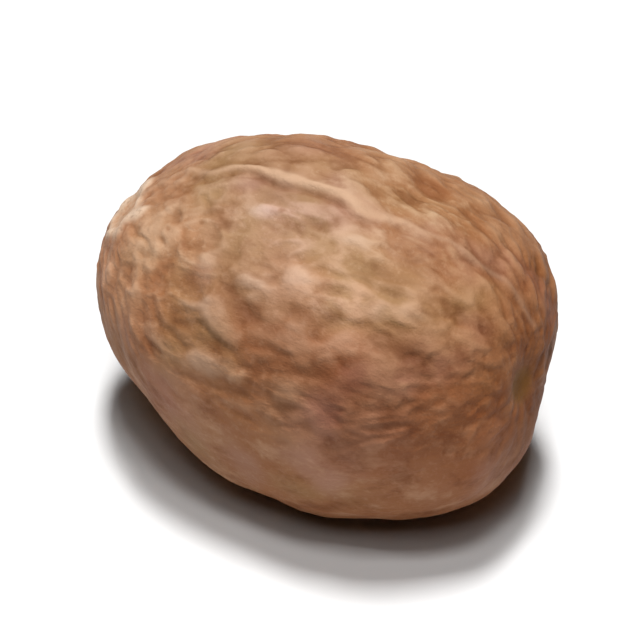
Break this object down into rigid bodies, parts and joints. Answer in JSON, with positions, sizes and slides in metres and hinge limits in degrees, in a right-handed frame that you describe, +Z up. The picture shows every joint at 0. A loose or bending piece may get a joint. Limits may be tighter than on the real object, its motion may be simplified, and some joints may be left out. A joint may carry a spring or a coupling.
{
  "type": "whole nutmeg",
  "caption": "Whole dried nutmeg lying on its side: one ovoid seed kernel with a furrowed, wrinkled brown surface, a pale scar near its narrow end and a small dark dimple at its blunt end.",
  "frame": {"origin": "bottom centre of the nutmeg's box, on the surface that it lies on", "axes": "+X along the nutmeg's length, from the narrow end with the pale scar to the blunt end; +Z up; +Y across its width"},
  "size_m": [0.0252, 0.0186, 0.0179],
  "materials": {
    "nutmeg_skin": "matte dry seed surface, mottled brown, paler on the ridges and darker in the furrows"
  },
  "bodies": {
    "root": {"nutmeg": "nutmeg_skin"}
  },
  "joints": []
}
